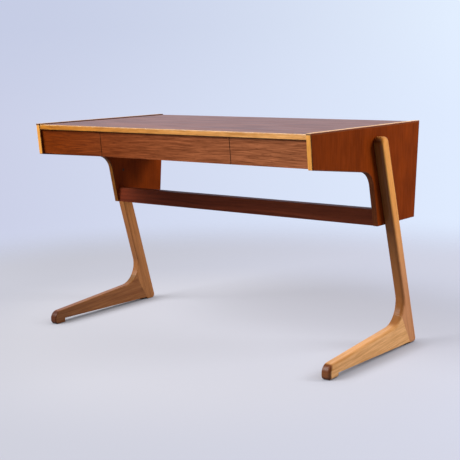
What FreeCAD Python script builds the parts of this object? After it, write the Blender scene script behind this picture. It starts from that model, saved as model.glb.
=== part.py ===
import FreeCAD, Part
import os
import re
import Sketcher

# A writing desk of teak-veneered board, edged in solid oak and carried on two solid oak legs.
# Three drawers hang in a row under the top, between two side panels shaped like flags.
# Each leg is an upright that leans forward as it rises, joined at its heel to a long foot.
# Units are millimetres. X runs along the desk, Y from front to back, Z up from the floor.
# The origin is on the floor under the middle of the desk.

SIZES = {
    # whole desk, over the side panels
    "desk_width": 1134.0,
    "desk_depth": 642.0,
    "desk_height": 725.0,
    # side panel outline: a deep arm at the front, a flag at the back
    "panel_thickness": 16.0,
    "arm_height": 105.0,
    "arm_setback": 9.5,
    "corner_depth": 339.5,
    "corner_drop": 143.0,
    "corner_radius": 62.0,
    "panel_drop": 314.5,
    "panel_foot_depth": 375.0,
    "rear_setback": 29.5,
    # strips on the edges of the side panels
    "front_strip": 4.5,
    "top_strip": 5.0,
    "bent_strip": 3.0,
    "edge_band": 1.5,
    # top board
    "top_reveal": 3.0,
    "top_thickness": 16.0,
    "lip_depth": 8.0,
    "lip_recess": 3.0,
    "rear_lip_depth": 5.0,
    "rear_lip_recess": 3.0,
    # back panel and rail
    "back_thickness": 12.0,
    "back_recess": 8.0,
    "back_height": 106.0,
    "rail_inset": 5.0,
    "rail_thickness": 32.0,
    "rail_height": 52.0,
    # drawer bays
    "side_bay_width": 281.0,
    "divider_thickness": 16.0,
    "divider_drop": 2.0,
    "divider_gap": 0.3,
    # drawer fronts
    "front_recess": 9.0,
    "front_thickness": 16.0,
    "front_height": 82.0,
    "front_top_gap": 1.5,
    "front_end_gap": 1.0,
    "grip_height": 14.0,
    "grip_lip": 8.0,
    # drawer boxes
    "box_top_room": 9.5,
    "box_side_thickness": 12.0,
    "box_side_gap": 1.0,
    "box_rear_room": 14.0,
    "box_back_thickness": 10.0,
    "box_back_drop": 5.0,
    "bottom_thickness": 5.0,
    "bottom_rise": 6.0,
    "bottom_groove": 5.0,
    "bottom_end_gap": 0.3,
    # runners in grooved drawer sides
    "runner_height": 12.0,
    "runner_groove": 7.0,
    "runner_rise": 24.0,
    "runner_front_gap": 6.0,
    "running_gap": 0.3,
    "stop_width": 30.0,
    "stop_height": 26.0,
    "stop_rise": 18.0,
    "stop_gap": 0.3,
    # legs
    "leg_thickness": 32.0,
    "leg_top_drop": 33.0,
    "leg_rake": 198.0,
    "upright_width": 47.0,
    "leg_inset": 43.5,
    "heel_length": 44.0,
    "toe_depth": 49.0,
    "toe_height": 44.5,
    "toe_flat": 3.0,
    "toe_pad_length": 46.0,
    "relief_toe": 15.5,
    "relief_heel": 8.0,
    "crotch_height": 84.5,
    "crotch_radius": 75.0,
    "dome_flat": 4.5,
    "outer_round": 11.0,
    "inner_round": 4.0,
    "sole_round_extra": 1.5,
    "seam_rise": 97.0,
    "seam_run": 57.0,
    "glide_radius": 9.0,
    "glide_height": 11.0,
    "glide_setback": 17.0,
    # wooden dowels
    "top_dowel_radius": 4.0,
    "top_dowel_in_panel": 12.0,
    "top_dowel_in_board": 20.0,
    "back_dowel_radius": 3.0,
    "back_dowel_in_panel": 11.0,
    "back_dowel_in_board": 18.0,
    "rail_dowel_radius": 5.0,
    "rail_dowel_in_panel": 13.0,
    "rail_dowel_in_rail": 26.0,
    "divider_dowel_radius": 3.5,
    "divider_dowel_in_top": 10.0,
    "divider_dowel_in_divider": 18.0,
    "foot_dowel_radius": 5.0,
    "foot_dowel_half": 22.0,
    "dowel_clearance": 0.1,
    # screws
    "leg_screw_radius": 2.5,
    "leg_screw_head_radius": 5.0,
    "leg_screw_head_height": 3.0,
    "leg_screw_length": 40.0,
    "leg_screw_low_margin": 20.5,
    "leg_screw_top_margin": 68.0,
    "runner_screw_radius": 1.5,
    "runner_screw_head_radius": 3.0,
    "runner_screw_head_height": 2.0,
    "runner_screw_bite": 5.5,
    "screw_clearance": 0.1,
    # how far a cutting tool runs past the wood
    "overrun": 5.0,
}

# Two places closer than this share of the desk's depth count as one
SAME_PLACE_SHARE = 1e-5

# Shares of a piece's own length, for rows of dowels and screws
TOP_DOWEL_SHARES = (0.08, 0.36, 0.64, 0.92)
BACK_DOWEL_SHARES = (0.25, 0.75)
RAIL_DOWEL_SHARES = (0.28, 0.72)
DIVIDER_DOWEL_SHARES = (0.1, 0.5, 0.9)
FOOT_DOWEL_SHARES = (0.36, 0.68)
RUNNER_SCREW_SHARES = (0.12, 0.88)
LEG_SCREW_SHARES = (0.0, 0.5, 1.0)

# Heights and places that several pieces share, written as sums of the sizes above
FRONT = "(-desk_depth / 2)"
CORNER_HEIGHT = "(desk_height - corner_drop)"
PANEL_LOW = "(desk_height - panel_drop)"
LEG_HEIGHT = "(desk_height - leg_top_drop)"
CORNER_Y = f"({FRONT} + corner_depth)"
FOOT_Y = f"({FRONT} + panel_foot_depth)"
HEEL_BACK = f"({FOOT_Y} + leg_inset + upright_width + leg_rake * {PANEL_LOW} / {LEG_HEIGHT})"
INNER_X = "(desk_width / 2 - panel_thickness)"
TOP_FACE = "(desk_height - top_reveal)"
TOP_UNDERSIDE = "(desk_height - top_reveal - top_thickness)"
DIVIDER_X = f"({INNER_X} - side_bay_width)"
FRONT_TOP = f"({TOP_UNDERSIDE} - front_top_gap)"
FRONT_BOTTOM = f"({FRONT_TOP} - front_height)"
BOX_BOTTOM = f"({FRONT_BOTTOM} + grip_height)"
BOX_TOP = f"({TOP_UNDERSIDE} - box_top_room)"
BOARD_LOW = f"({BOX_BOTTOM} + bottom_rise)"
RUNNER_LOW = f"({BOX_BOTTOM} + runner_rise + running_gap)"
RUNNER_THICKNESS = "(box_side_gap + runner_groove - running_gap)"
BACK_BOTTOM = f"({TOP_UNDERSIDE} - back_height)"
LEFT = -1
RIGHT = 1
SIDES = (("left", LEFT), ("right", RIGHT))


def front_edge(height):
    """Y of the side panel's sloping front edge at a height."""
    return f"({FRONT} + arm_setback * (desk_height - {height}) / arm_height)"


def rear_edge(height):
    """Y of the side panel's sloping rear edge at a height."""
    return f"(desk_depth / 2 - rear_setback * (desk_height - {height}) / panel_drop)"


def front_back_face(height):
    """Y of the rear face of the sloping drawer fronts at a height."""
    return f"({front_edge(height)} + front_recess + front_thickness)"


def back_front_face(height):
    """Y of the front face of the sloping back panel at a height."""
    return f"({rear_edge(height)} - back_recess - back_thickness)"


BOX_REAR = f"({back_front_face(BOX_BOTTOM)} - box_rear_room)"
SAME_PLACE = SIZES["desk_depth"] * SAME_PLACE_SHARE

document = FreeCAD.newDocument("Desk")
sheet = document.addObject("Spreadsheet::Sheet", "Sizes")
for row, (alias, number) in enumerate(SIZES.items(), start=1):
    sheet.set(f"A{row}", alias)
    sheet.set(f"B{row}", str(number))
    sheet.setAlias(f"B{row}", alias)
document.recompute()

nodes = []


def bind(text):
    """Turns the size names in a sum into references to the sheet."""
    return re.sub(r"[a-z_]+", lambda word: ("Sizes." if word[0] in SIZES else "") + word[0], text)


def place(thing, x, y, z):
    """Ties the base point of a placement to three sums."""
    for axis, text in (("x", x), ("y", y), ("z", z)):
        thing.setExpression(f"Placement.Base.{axis}", bind(text))


def new_body(label):
    """An empty body for one piece, which becomes a node of the desk."""
    body = document.addObject("PartDesign::Body", label)
    body.Label = label
    nodes.append(body)
    return body


def add_box(body, low, high, kind="PartDesign::AdditiveBox"):
    """A block between two corners, each given as three sums."""
    block = body.newObject(kind, "Block")
    for side, start, end in zip(("Length", "Width", "Height"), low, high):
        block.setExpression(side, bind(f"({end}) - ({start})"))
    place(block, *low)
    return block


def cut_box(body, low, high):
    """Removes a block from a body."""
    return add_box(body, low, high, "PartDesign::SubtractiveBox")


def board(label, low, high):
    """A square-edged board."""
    body = new_body(label)
    add_box(body, low, high)
    return body


def pinned_sketch(body, corners, offset="0"):
    """A closed outline in the YZ plane whose corners are tied to sums."""
    sketch = body.newObject("Sketcher::SketchObject", "Outline")
    plane = [item for item in body.Origin.OriginFeatures if item.Role == "YZ_Plane"][0]
    sketch.AttachmentSupport = [(plane, "")]
    sketch.MapMode = "FlatFace"
    sketch.setExpression("AttachmentOffset.Base.z", bind(offset))
    count = len(corners)
    # the first drawn shape is a plain round polygon, which the sums then pull into place
    turn = FreeCAD.Rotation(FreeCAD.Vector(0, 0, 1), -360.0 / count)
    points = [FreeCAD.Vector(SIZES["desk_depth"], 0, 0)]
    for _ in range(count - 1):
        points.append(turn.multVec(points[-1]))
    for index, point in enumerate(points):
        sketch.addGeometry(Part.LineSegment(point, points[(index + 1) % count]))
    for index, (y, z) in enumerate(corners):
        following = (index + 1) % count
        sketch.addConstraint(Sketcher.Constraint("Coincident", index, 2, following, 1))
        for kind, text, value in (("DistanceX", y, points[index].x), ("DistanceY", z, points[index].y)):
            number = sketch.addConstraint(Sketcher.Constraint(kind, -1, 1, index, 1, value))
            sketch.setExpression(f"Constraints[{number}]", bind(text))
    return sketch


def profile_board(label, corners, x_low, thickness):
    """A board cut to an outline in the YZ plane and as thick along X as the sum says."""
    body = new_body(label)
    sketch = pinned_sketch(body, corners, x_low)
    pad = body.newObject("PartDesign::Pad", "Pad")
    pad.Profile = sketch
    pad.setExpression("Length", bind(thickness))
    sketch.Visibility = False
    return body


def round_edges(body, radius, chosen):
    """Rounds the edges of a body that the test picks."""
    document.recompute()
    base = body.Tip
    names = [f"Edge{number}" for number, edge in enumerate(base.Shape.Edges, start=1) if chosen(edge)]
    fillet = body.newObject("PartDesign::Fillet", "Round")
    fillet.Base = (base, names)
    fillet.setExpression("Radius", bind(radius))
    return fillet


def runs_across_at(corner):
    """A test for the edge along X that passes through one corner of an outline."""
    def chosen(edge):
        first, last = edge.Vertexes[0].Point, edge.Vertexes[-1].Point
        across = abs(first.x - last.x) > abs(first.y - last.y) + abs(first.z - last.z)
        away = abs(first.y - corner.x) + abs(first.z - corner.y)
        return across and away < SAME_PLACE
    return chosen


def corner_point(body, index):
    """The solved place of one corner of a body's outline."""
    document.recompute()
    sketch = [item for item in body.Group if item.TypeId == "Sketcher::SketchObject"][0]
    return sketch.Geometry[index].StartPoint


SEAM_NORMAL = FreeCAD.Vector(0, SIZES["seam_rise"], SIZES["seam_run"])
AXIS_TURNS = {
    "x": FreeCAD.Rotation(FreeCAD.Vector(0, 1, 0), 90),
    "-x": FreeCAD.Rotation(FreeCAD.Vector(0, 1, 0), -90),
    "z": FreeCAD.Rotation(),
    # square to the seam of a leg, pointing up and back
    "seam": FreeCAD.Rotation(FreeCAD.Vector(0, 0, 1), SEAM_NORMAL),
}


def drill(body, centre, axis, radius, length):
    """Removes a round hole that starts at a point and runs along an axis."""
    hole = body.newObject("PartDesign::SubtractiveCylinder", "Hole")
    hole.Placement = FreeCAD.Placement(FreeCAD.Vector(), AXIS_TURNS[axis])
    hole.setExpression("Radius", bind(radius))
    hole.setExpression("Height", bind(length))
    place(hole, *centre)
    return hole


def countersink(body, centre, axis, radius, head_radius, head_height):
    """Removes the cone that a screw's head sinks into."""
    cone = body.newObject("PartDesign::SubtractiveCone", "Countersink")
    cone.Placement = FreeCAD.Placement(FreeCAD.Vector(), AXIS_TURNS[axis])
    cone.setExpression("Radius1", bind(f"{head_radius} + screw_clearance"))
    cone.setExpression("Radius2", bind(f"{radius} + screw_clearance"))
    cone.setExpression("Height", bind(head_height))
    place(cone, *centre)
    return cone


def rod(centre, axis, radius, length):
    """A plain round peg that starts at a point and runs along an axis."""
    peg = document.addObject("Part::Cylinder", "Peg")
    peg.Placement = FreeCAD.Placement(FreeCAD.Vector(), AXIS_TURNS[axis])
    peg.setExpression("Radius", bind(radius))
    peg.setExpression("Height", bind(length))
    place(peg, *centre)
    return peg


def screw(centre, axis, kind, length):
    """A countersunk wood screw, its head at the point."""
    head = document.addObject("Part::Cone", "Head")
    head.Placement = FreeCAD.Placement(FreeCAD.Vector(), AXIS_TURNS[axis])
    head.setExpression("Radius1", bind(f"{kind}_screw_head_radius"))
    head.setExpression("Radius2", bind(f"{kind}_screw_radius"))
    head.setExpression("Height", bind(f"{kind}_screw_head_height"))
    place(head, *centre)
    shank = rod(centre, axis, f"{kind}_screw_radius", length)
    whole = document.addObject("Part::Fuse", "Screw")
    whole.Base = head
    whole.Tool = shank
    return whole


def group(label, pieces):
    """Several like pieces kept as separate solids in one node."""
    together = document.addObject("Part::Compound", label)
    together.Label = label
    together.Links = pieces
    nodes.append(together)
    return together


def less(label, base, tools):
    """A base shape with other pieces taken out of it, one after another."""
    for tool in tools:
        cut = document.addObject("Part::Cut", "Trim")
        cut.Base = base
        cut.Tool = tool
        base = cut
    base.Label = label
    nodes.append(base)
    return base


# Side panels: a core between an oak front strip, an oak top strip, one bent oak strip that runs
# under the arm and round the curve, and thin teak bands below and behind.

FRONT_LOW = "(desk_height - arm_height)"
STRIP_TOP = "(desk_height - top_strip)"
BAND_TOP = f"({PANEL_LOW} + edge_band)"


def underside(depth):
    """Height of the arm's sloping lower edge at a distance behind its front lower corner."""
    return f"({FRONT_LOW} - (corner_drop - arm_height) * ({depth}) / (corner_depth - arm_setback))"


def panel_x(side):
    """X where a side panel begins."""
    return INNER_X if side == RIGHT else "(-desk_width / 2)"


def blank_outline():
    """The side panel's whole outline, with its strips."""
    return [
        (front_edge(FRONT_LOW), FRONT_LOW),
        (FRONT, "desk_height"),
        ("desk_depth / 2", "desk_height"),
        (rear_edge(PANEL_LOW), PANEL_LOW),
        (FOOT_Y, PANEL_LOW),
        (CORNER_Y, CORNER_HEIGHT),
    ]


def front_strip_outline():
    """The oak strip on the arm's front edge."""
    return [
        (front_edge(FRONT_LOW), FRONT_LOW),
        (front_edge(STRIP_TOP), STRIP_TOP),
        (f"{front_edge(STRIP_TOP)} + front_strip", STRIP_TOP),
        (f"{front_edge(FRONT_LOW)} + front_strip", underside("front_strip")),
    ]


def top_strip_outline():
    """The oak strip on the panel's top edge."""
    return [
        (front_edge(STRIP_TOP), STRIP_TOP),
        (FRONT, "desk_height"),
        ("desk_depth / 2", "desk_height"),
        (rear_edge(STRIP_TOP), STRIP_TOP),
    ]


def bent_strip_outline():
    """The oak strip under the arm, round the curve and down the lower front edge."""
    return [
        (f"{front_edge(FRONT_LOW)} + front_strip", underside("front_strip")),
        (f"{front_edge(FRONT_LOW)} + front_strip", f"{underside('front_strip')} + bent_strip"),
        (f"{CORNER_Y} + bent_strip", f"{CORNER_HEIGHT} + bent_strip"),
        (f"{FOOT_Y} + bent_strip", PANEL_LOW),
        (FOOT_Y, PANEL_LOW),
        (CORNER_Y, CORNER_HEIGHT),
    ]


def bent_strip_back(height):
    """Y of the rear face of the bent strip's lower straight part at a height."""
    return (f"({FOOT_Y} + bent_strip - (panel_foot_depth - corner_depth) * ({height} - {PANEL_LOW})"
            " / (panel_drop - corner_drop + bent_strip))")


def bottom_band_outline():
    """The thin teak band on the panel's lower edge."""
    return [
        (f"{FOOT_Y} + bent_strip", PANEL_LOW),
        (bent_strip_back(BAND_TOP), BAND_TOP),
        (f"{rear_edge(BAND_TOP)} - edge_band", BAND_TOP),
        (f"{rear_edge(PANEL_LOW)} - edge_band", PANEL_LOW),
    ]


def rear_band_outline():
    """The thin teak band on the panel's rear edge."""
    return [
        (f"{rear_edge(PANEL_LOW)} - edge_band", PANEL_LOW),
        (f"{rear_edge(STRIP_TOP)} - edge_band", STRIP_TOP),
        (rear_edge(STRIP_TOP), STRIP_TOP),
        (rear_edge(PANEL_LOW), PANEL_LOW),
    ]


def places_between(start, end, shares):
    """Places between two sums, at the given shares of the way."""
    return [f"({start} + ({end} - ({start})) * {share})" for share in shares]


# Rows of dowels and screws that pass from one piece into the next

TOP_FRONT_Y = f"({FRONT} + lip_recess + lip_depth)"
TOP_REAR_Y = "(desk_depth / 2 - rear_lip_recess - rear_lip_depth)"
TOP_DOWEL_Z = f"({TOP_UNDERSIDE} + top_thickness / 2)"
RAIL_Y = f"({FOOT_Y} + rail_inset)"
RAIL_TOP = f"({PANEL_LOW} + rail_height)"


def leg_axis(height):
    """Y of the middle of the leaning upright at a height."""
    return f"({HEEL_BACK} - upright_width / 2 - leg_rake * {height} / {LEG_HEIGHT})"


def dowel_start(side, in_panel, in_board):
    """X of the lower end of a dowel that joins a side panel to a board inside it."""
    return f"({INNER_X} - {in_board})" if side == RIGHT else f"(-{INNER_X} - {in_panel})"


def top_dowel_places(side):
    """Lower ends of the dowels between the top and a side panel."""
    x = dowel_start(side, "top_dowel_in_panel", "top_dowel_in_board")
    return [(x, y, TOP_DOWEL_Z) for y in places_between(TOP_FRONT_Y, TOP_REAR_Y, TOP_DOWEL_SHARES)]


def back_dowel_places(side):
    """Lower ends of the dowels between the back panel and a side panel."""
    x = dowel_start(side, "back_dowel_in_panel", "back_dowel_in_board")
    heights = places_between(BACK_BOTTOM, TOP_UNDERSIDE, BACK_DOWEL_SHARES)
    return [(x, f"({back_front_face(z)} + back_thickness / 2)", z) for z in heights]


def rail_dowel_places(side):
    """Lower ends of the dowels between the rail and a side panel."""
    x = dowel_start(side, "rail_dowel_in_panel", "rail_dowel_in_rail")
    heights = places_between(PANEL_LOW, RAIL_TOP, RAIL_DOWEL_SHARES)
    return [(x, f"({RAIL_Y} + rail_thickness / 2)", z) for z in heights]


def leg_screw_places(side):
    """Heads of the screws that hold a leg, on the panel's inner face."""
    x = INNER_X if side == RIGHT else f"(-{INNER_X})"
    heights = places_between(f"({PANEL_LOW} + leg_screw_low_margin)",
                             f"({LEG_HEIGHT} - leg_screw_top_margin)", LEG_SCREW_SHARES)
    return [(x, leg_axis(z), z) for z in heights]


def divider_x(side):
    """X of the middle of a divider."""
    return DIVIDER_X if side == RIGHT else f"(-{DIVIDER_X})"


def divider_dowel_places(side):
    """Lower ends of the dowels between a divider and the top."""
    start = f"({front_back_face(TOP_UNDERSIDE)} + divider_gap)"
    rows = places_between(start, back_front_face(TOP_UNDERSIDE), DIVIDER_DOWEL_SHARES)
    return [(divider_x(side), y, f"({TOP_UNDERSIDE} - divider_dowel_in_divider)") for y in rows]


TOP_DOWEL_LENGTH = "(top_dowel_in_panel + top_dowel_in_board)"
BACK_DOWEL_LENGTH = "(back_dowel_in_panel + back_dowel_in_board)"
RAIL_DOWEL_LENGTH = "(rail_dowel_in_panel + rail_dowel_in_rail)"
DIVIDER_DOWEL_LENGTH = "(divider_dowel_in_top + divider_dowel_in_divider)"


def drill_for(body, places, axis, radius, length):
    """Drills a row of dowel holes, each a clearance wider and longer than its dowel."""
    for x, y, z in places:
        start = [x, y, z]
        along = "xyz".index(axis[-1])
        start[along] = f"({start[along]} - dowel_clearance)"
        drill(body, start, axis, f"{radius} + dowel_clearance", f"{length} + 2 * dowel_clearance")


# Drawer bays from left to right: name, inner faces, ends of the front, runner supports

BAYS = (
    ("left", f"(-{INNER_X})", f"(-{DIVIDER_X} - divider_thickness / 2)",
     f"(-{INNER_X} + front_end_gap)", f"(-{DIVIDER_X} - front_end_gap)"),
    ("middle", f"(-{DIVIDER_X} + divider_thickness / 2)", f"({DIVIDER_X} - divider_thickness / 2)",
     f"(-{DIVIDER_X} + front_end_gap)", f"({DIVIDER_X} - front_end_gap)"),
    ("right", f"({DIVIDER_X} + divider_thickness / 2)", INNER_X,
     f"({DIVIDER_X} + front_end_gap)", f"({INNER_X} - front_end_gap)"),
)
RUNNER_FRONT = f"({front_back_face(RUNNER_LOW)} + runner_front_gap)"
RUNNER_SCREW_Z = f"({RUNNER_LOW} + runner_height / 2)"
RUNNER_SCREW_LENGTH = f"({RUNNER_THICKNESS} + runner_screw_bite)"


def runner_screw_places(bay_low, bay_high, side):
    """Heads of one runner's screws. Side says on which side of the bay the runner is."""
    x = f"({bay_low} + {RUNNER_THICKNESS})" if side == LEFT else f"({bay_high} - {RUNNER_THICKNESS})"
    rows = places_between(RUNNER_FRONT, BOX_REAR, RUNNER_SCREW_SHARES)
    return [(x, y, RUNNER_SCREW_Z) for y in rows]


def support_places(side_name, side):
    """Heads of the runner screws that end in a side panel."""
    for name, bay_low, bay_high, _, _ in BAYS:
        if name == side_name:
            return runner_screw_places(bay_low, bay_high, side)


def pilot_holes(body, places, axis):
    """Drills a row of holes for runner screws."""
    for centre in places:
        drill(body, centre, axis, "runner_screw_radius + screw_clearance",
              f"{RUNNER_SCREW_LENGTH} + screw_clearance")


def make_side(name, side):
    """One side panel and the strips on its edges."""
    x = panel_x(side)
    outlines = (
        (f"front_strip_{name}", front_strip_outline()),
        (f"top_strip_{name}", top_strip_outline()),
        (f"bent_strip_{name}", bent_strip_outline()),
        (f"bottom_band_{name}", bottom_band_outline()),
        (f"rear_band_{name}", rear_band_outline()),
    )
    strips = [profile_board(label, outline, x, "panel_thickness") for label, outline in outlines]
    bent = strips[2]
    hidden, seen = corner_point(bent, 2), corner_point(bent, 5)
    round_edges(bent, "corner_radius", runs_across_at(seen))
    round_edges(bent, "corner_radius + bent_strip", runs_across_at(hidden))
    blank = profile_board(f"panel_blank_{name}", blank_outline(), x, "panel_thickness")
    nodes.remove(blank)
    round_edges(blank, "corner_radius", runs_across_at(corner_point(blank, 5)))
    drill_for(blank, top_dowel_places(side), "x", "top_dowel_radius", TOP_DOWEL_LENGTH)
    drill_for(blank, back_dowel_places(side), "x", "back_dowel_radius", BACK_DOWEL_LENGTH)
    drill_for(blank, rail_dowel_places(side), "x", "rail_dowel_radius", RAIL_DOWEL_LENGTH)
    outward = "x" if side == RIGHT else "-x"
    for centre in leg_screw_places(side):
        drill(blank, centre, outward, "leg_screw_radius + screw_clearance", "leg_screw_length")
        countersink(blank, centre, outward, "leg_screw_radius", "leg_screw_head_radius",
                    "leg_screw_head_height")
    pilot_holes(blank, support_places(name, side), outward)
    less(f"side_panel_{name}", blank, strips)


# Legs: one blank for upright and foot together, parted along the seam

LEG_BACK_TOP = f"({HEEL_BACK} - leg_rake)"
HEEL_Y = f"({HEEL_BACK} - heel_length)"
CROTCH_Y = f"({HEEL_BACK} - upright_width - leg_rake * crotch_height / {LEG_HEIGHT})"
TOE_Y = f"({FRONT} + toe_depth)"


def seam_y(height):
    """Y of the seam between foot and upright at a height."""
    return f"({HEEL_Y} - seam_run * ({height}) / seam_rise)"


def leg_outline():
    """Upright and foot in one outline, seen from the side."""
    return [
        (TOE_Y, "0"),
        (TOE_Y, "toe_height"),
        (CROTCH_Y, "crotch_height"),
        (f"{LEG_BACK_TOP} - upright_width", LEG_HEIGHT),
        (LEG_BACK_TOP, LEG_HEIGHT),
        (HEEL_BACK, "0"),
        (HEEL_Y, "0"),
        (seam_y("relief_heel"), "relief_heel"),
        (f"{TOE_Y} + toe_pad_length", "relief_toe"),
        (f"{TOE_Y} + toe_pad_length", "0"),
    ]


def leg_x(side):
    """X where a leg begins."""
    return "(desk_width / 2)" if side == RIGHT else "(-desk_width / 2 - leg_thickness)"


def foot_dowel_places():
    """Y and Z of the middles of the dowels across the seam."""
    heights = places_between("0", "seam_rise", FOOT_DOWEL_SHARES)
    return [(seam_y(z), z) for z in heights]


SOLE_ROUND = "(outer_round + sole_round_extra)"
SEAM_LENGTH = "sqrt(seam_rise ^ 2 + seam_run ^ 2)"


def foot_dowel_start(side, y, z, extra):
    """Lower end of a dowel that lies square to the seam."""
    reach = f"(foot_dowel_half + {extra})"
    slope = SEAM_LENGTH
    return (f"{leg_x(side)} + leg_thickness / 2", f"{y} - {reach} * seam_rise / {slope}",
            f"{z} - {reach} * seam_run / {slope}")


def leg_piece(label, side, remove):
    """The leg blank, with everything past the seam taken away."""
    body = profile_board(label, leg_outline(), leg_x(side), "leg_thickness")
    corners = [corner_point(body, index) for index in range(6)]
    sole = [runs_across_at(corner) for corner in (corners[0], corners[5])]
    round_edges(body, SOLE_ROUND, lambda edge: any(at_corner(edge) for at_corner in sole))
    round_edges(body, f"toe_height - {SOLE_ROUND} - toe_flat", runs_across_at(corners[1]))
    round_edges(body, "crotch_radius", runs_across_at(corners[2]))
    dome = [runs_across_at(corner) for corner in corners[3:5]]
    round_edges(body, "(upright_width - dome_flat) / 2",
                lambda edge: any(at_corner(edge) for at_corner in dome))
    document.recompute()
    bounds = body.Tip.Shape.BoundBox
    outer, inner = (bounds.XMax, bounds.XMin) if side == RIGHT else (bounds.XMin, bounds.XMax)

    def on_face(x):
        def chosen(edge):
            box = edge.BoundBox
            in_face = abs(box.XMin - x) + abs(box.XMax - x) < SAME_PLACE
            return in_face and box.ZMax > SIZES["toe_height"] / 2
        return chosen

    round_edges(body, "outer_round", on_face(outer))
    round_edges(body, "inner_round", on_face(inner))
    sketch = pinned_sketch(body, remove)
    pocket = body.newObject("PartDesign::Pocket", "Part")
    pocket.Profile = sketch
    pocket.Type = "ThroughAll"
    pocket.Midplane = True
    sketch.Visibility = False
    for y, z in foot_dowel_places():
        drill(body, foot_dowel_start(side, y, z, "dowel_clearance"), "seam",
              "foot_dowel_radius + dowel_clearance", "2 * (foot_dowel_half + dowel_clearance)")
    return body


def make_leg(name, side):
    """Upright, foot, their dowels, the leg's screws and the glide under its heel."""
    upright = leg_piece(f"leg_upright_{name}", side, upright_waste())
    outward = "x" if side == RIGHT else "-x"
    for centre in leg_screw_places(side):
        drill(upright, centre, outward, "leg_screw_radius + screw_clearance",
              "leg_screw_length + screw_clearance")
    foot = leg_piece(f"foot_{name}", side, foot_waste())
    glide_seat = (f"{leg_x(side)} + leg_thickness / 2", f"{HEEL_Y} - glide_setback", "0")
    drill(foot, glide_seat, "z", "glide_radius + dowel_clearance", "glide_height")
    group(f"foot_dowels_{name}", [
        rod(foot_dowel_start(side, y, z, "0"), "seam", "foot_dowel_radius", "2 * foot_dowel_half")
        for y, z in foot_dowel_places()])
    group(f"leg_screws_{name}", [
        screw(centre, outward, "leg", "leg_screw_length") for centre in leg_screw_places(side)])
    glide = new_body(f"heel_glide_{name}")
    disc = glide.newObject("PartDesign::AdditiveCylinder", "Disc")
    disc.setExpression("Radius", bind("glide_radius"))
    disc.setExpression("Height", bind("glide_height"))
    place(disc, *glide_seat)


def foot_waste():
    """What is cut from the blank to leave the foot: all that lies behind the seam."""
    high = f"({LEG_HEIGHT} + overrun)"
    bend = "(crotch_height + crotch_radius)"
    near = f"({FRONT} - overrun)"
    return [(seam_y("(-overrun)"), "-overrun"), ("desk_depth", "-overrun"), ("desk_depth", high),
            (near, high), (near, bend), (seam_y(bend), bend)]


def upright_waste():
    """What is cut from the blank to leave the upright: all that lies before the seam."""
    bend = "(crotch_height + crotch_radius)"
    near = f"({FRONT} - overrun)"
    return [(seam_y("(-overrun)"), "-overrun"), (seam_y(bend), bend), (near, bend), (near, "-overrun")]


def make_top():
    """The top board with its two lippings."""
    low = (f"-{INNER_X}", TOP_FRONT_Y, TOP_UNDERSIDE)
    high = (INNER_X, TOP_REAR_Y, TOP_FACE)
    top = board("desk_top", low, high)
    for _, side in SIDES:
        drill_for(top, top_dowel_places(side), "x", "top_dowel_radius", TOP_DOWEL_LENGTH)
        drill_for(top, divider_dowel_places(side), "z", "divider_dowel_radius", DIVIDER_DOWEL_LENGTH)
    board("top_front_lipping", (f"-{INNER_X}", f"{FRONT} + lip_recess", TOP_UNDERSIDE),
          (INNER_X, TOP_FRONT_Y, TOP_FACE))
    board("top_rear_lipping", (f"-{INNER_X}", TOP_REAR_Y, TOP_UNDERSIDE),
          (INNER_X, "desk_depth / 2 - rear_lip_recess", TOP_FACE))


def make_back():
    """The sloping back panel behind the drawers."""
    corners = [
        (back_front_face(BACK_BOTTOM), BACK_BOTTOM),
        (back_front_face(TOP_UNDERSIDE), TOP_UNDERSIDE),
        (f"{back_front_face(TOP_UNDERSIDE)} + back_thickness", TOP_UNDERSIDE),
        (f"{back_front_face(BACK_BOTTOM)} + back_thickness", BACK_BOTTOM),
    ]
    back = profile_board("back_panel", corners, f"-{INNER_X}", f"2 * {INNER_X}")
    for _, side in SIDES:
        drill_for(back, back_dowel_places(side), "x", "back_dowel_radius", BACK_DOWEL_LENGTH)


def make_rail():
    """The stretcher rail low down between the side panels."""
    low = (f"-{INNER_X}", RAIL_Y, PANEL_LOW)
    high = (INNER_X, f"{RAIL_Y} + rail_thickness", RAIL_TOP)
    rail = board("stretcher_rail", low, high)
    for _, side in SIDES:
        drill_for(rail, rail_dowel_places(side), "x", "rail_dowel_radius", RAIL_DOWEL_LENGTH)


def make_divider(name, side):
    """An upright board between two drawers, hung from the top."""
    bottom = f"({BOX_BOTTOM} - divider_drop)"
    corners = [
        (f"{front_back_face(bottom)} + divider_gap", bottom),
        (f"{front_back_face(TOP_UNDERSIDE)} + divider_gap", TOP_UNDERSIDE),
        (back_front_face(TOP_UNDERSIDE), TOP_UNDERSIDE),
        (back_front_face(bottom), bottom),
    ]
    divider = profile_board(f"divider_{name}", corners, f"{divider_x(side)} - divider_thickness / 2",
                            "divider_thickness")
    drill_for(divider, divider_dowel_places(side), "z", "divider_dowel_radius", DIVIDER_DOWEL_LENGTH)
    left_bay, right_bay = (BAYS[0], BAYS[1]) if side == LEFT else (BAYS[1], BAYS[2])
    pilot_holes(divider, runner_screw_places(left_bay[1], left_bay[2], RIGHT), "x")
    pilot_holes(divider, runner_screw_places(right_bay[1], right_bay[2], LEFT), "-x")


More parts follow.
